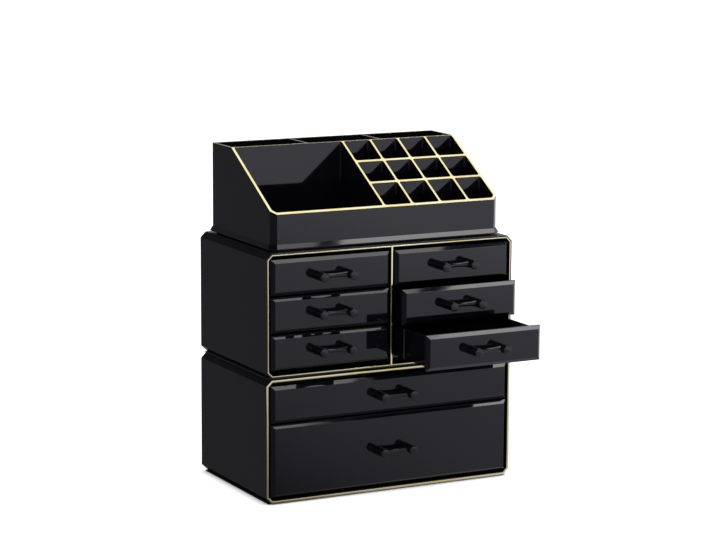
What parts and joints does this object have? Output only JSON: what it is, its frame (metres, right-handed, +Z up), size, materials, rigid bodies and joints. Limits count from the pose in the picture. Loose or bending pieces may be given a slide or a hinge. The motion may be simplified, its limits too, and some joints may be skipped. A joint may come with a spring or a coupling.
{
  "type": "makeup organizer with drawers",
  "caption": "Glossy black stacking cosmetics organizer: sloped, tiered compartment tray on two gold-edged drawer cases with bevelled drawers and H-shaped handles.",
  "frame": {"origin": "centre of the flat base step that the organizer stands on", "axes": "+Z up, -Y towards the user (drawers open that way), +X to the user's right"},
  "size_m": [0.24, 0.2114, 0.2971],
  "materials": {
    "case_black": "high-gloss moulded polystyrene",
    "drawer_black": "high-gloss moulded polystyrene",
    "handle_black": "polished moulded plastic",
    "gold_foil": "hot-stamped bright gold foil",
    "screw_steel": "zinc-plated"
  },
  "bodies": {
    "bottom_unit": {"bottom_case": "case_black", "bottom_case_edging": "gold_foil"},
    "middle_unit": {"middle_case": "case_black", "middle_case_edging": "gold_foil"},
    "tray_unit": {"tray": "case_black", "tray_edging": "gold_foil"},
    "left_top_drawer": {"drawer_left_top": "drawer_black", "handle_left_top": "handle_black", "screws_left_top": "screw_steel"},
    "left_middle_drawer": {"drawer_left_middle": "drawer_black", "handle_left_middle": "handle_black", "screws_left_middle": "screw_steel"},
    "left_bottom_drawer": {"drawer_left_bottom": "drawer_black", "handle_left_bottom": "handle_black", "screws_left_bottom": "screw_steel"},
    "right_top_drawer": {"drawer_right_top": "drawer_black", "handle_right_top": "handle_black", "screws_right_top": "screw_steel"},
    "right_middle_drawer": {"drawer_right_middle": "drawer_black", "handle_right_middle": "handle_black", "screws_right_middle": "screw_steel"},
    "right_bottom_drawer": {"drawer_right_bottom": "drawer_black", "handle_right_bottom": "handle_black", "screws_right_bottom": "screw_steel"},
    "shallow_drawer": {"drawer_shallow": "drawer_black", "handle_shallow": "handle_black", "screws_shallow": "screw_steel"},
    "deep_drawer": {"drawer_deep": "drawer_black", "handle_deep": "handle_black", "screws_deep": "screw_steel"}
  },
  "joints": [
    {"name": "middle_unit_lift", "type": "slide", "parent": "bottom_unit", "child": "middle_unit", "axis": [0, 0, 1], "range_m": [0, 0.12]},
    {"name": "tray_lift", "type": "slide", "parent": "middle_unit", "child": "tray_unit", "axis": [0, 0, 1], "range_m": [0, 0.15]},
    {"name": "left_top_drawer_slide", "type": "slide", "parent": "middle_unit", "child": "left_top_drawer", "axis": [0, -1, 0], "range_m": [0, 0.105]},
    {"name": "left_middle_drawer_slide", "type": "slide", "parent": "middle_unit", "child": "left_middle_drawer", "axis": [0, -1, 0], "range_m": [0, 0.105]},
    {"name": "left_bottom_drawer_slide", "type": "slide", "parent": "middle_unit", "child": "left_bottom_drawer", "axis": [0, -1, 0], "range_m": [0, 0.105]},
    {"name": "right_top_drawer_slide", "type": "slide", "parent": "middle_unit", "child": "right_top_drawer", "axis": [0, -1, 0], "range_m": [0, 0.105]},
    {"name": "right_middle_drawer_slide", "type": "slide", "parent": "middle_unit", "child": "right_middle_drawer", "axis": [0, -1, 0], "range_m": [-0.014, 0.091]},
    {"name": "right_bottom_drawer_slide", "type": "slide", "parent": "middle_unit", "child": "right_bottom_drawer", "axis": [0, -1, 0], "range_m": [-0.057, 0.048]},
    {"name": "shallow_drawer_slide", "type": "slide", "parent": "bottom_unit", "child": "shallow_drawer", "axis": [0, -1, 0], "range_m": [0, 0.105]},
    {"name": "deep_drawer_slide", "type": "slide", "parent": "bottom_unit", "child": "deep_drawer", "axis": [0, -1, 0], "range_m": [0, 0.105]}
  ]
}
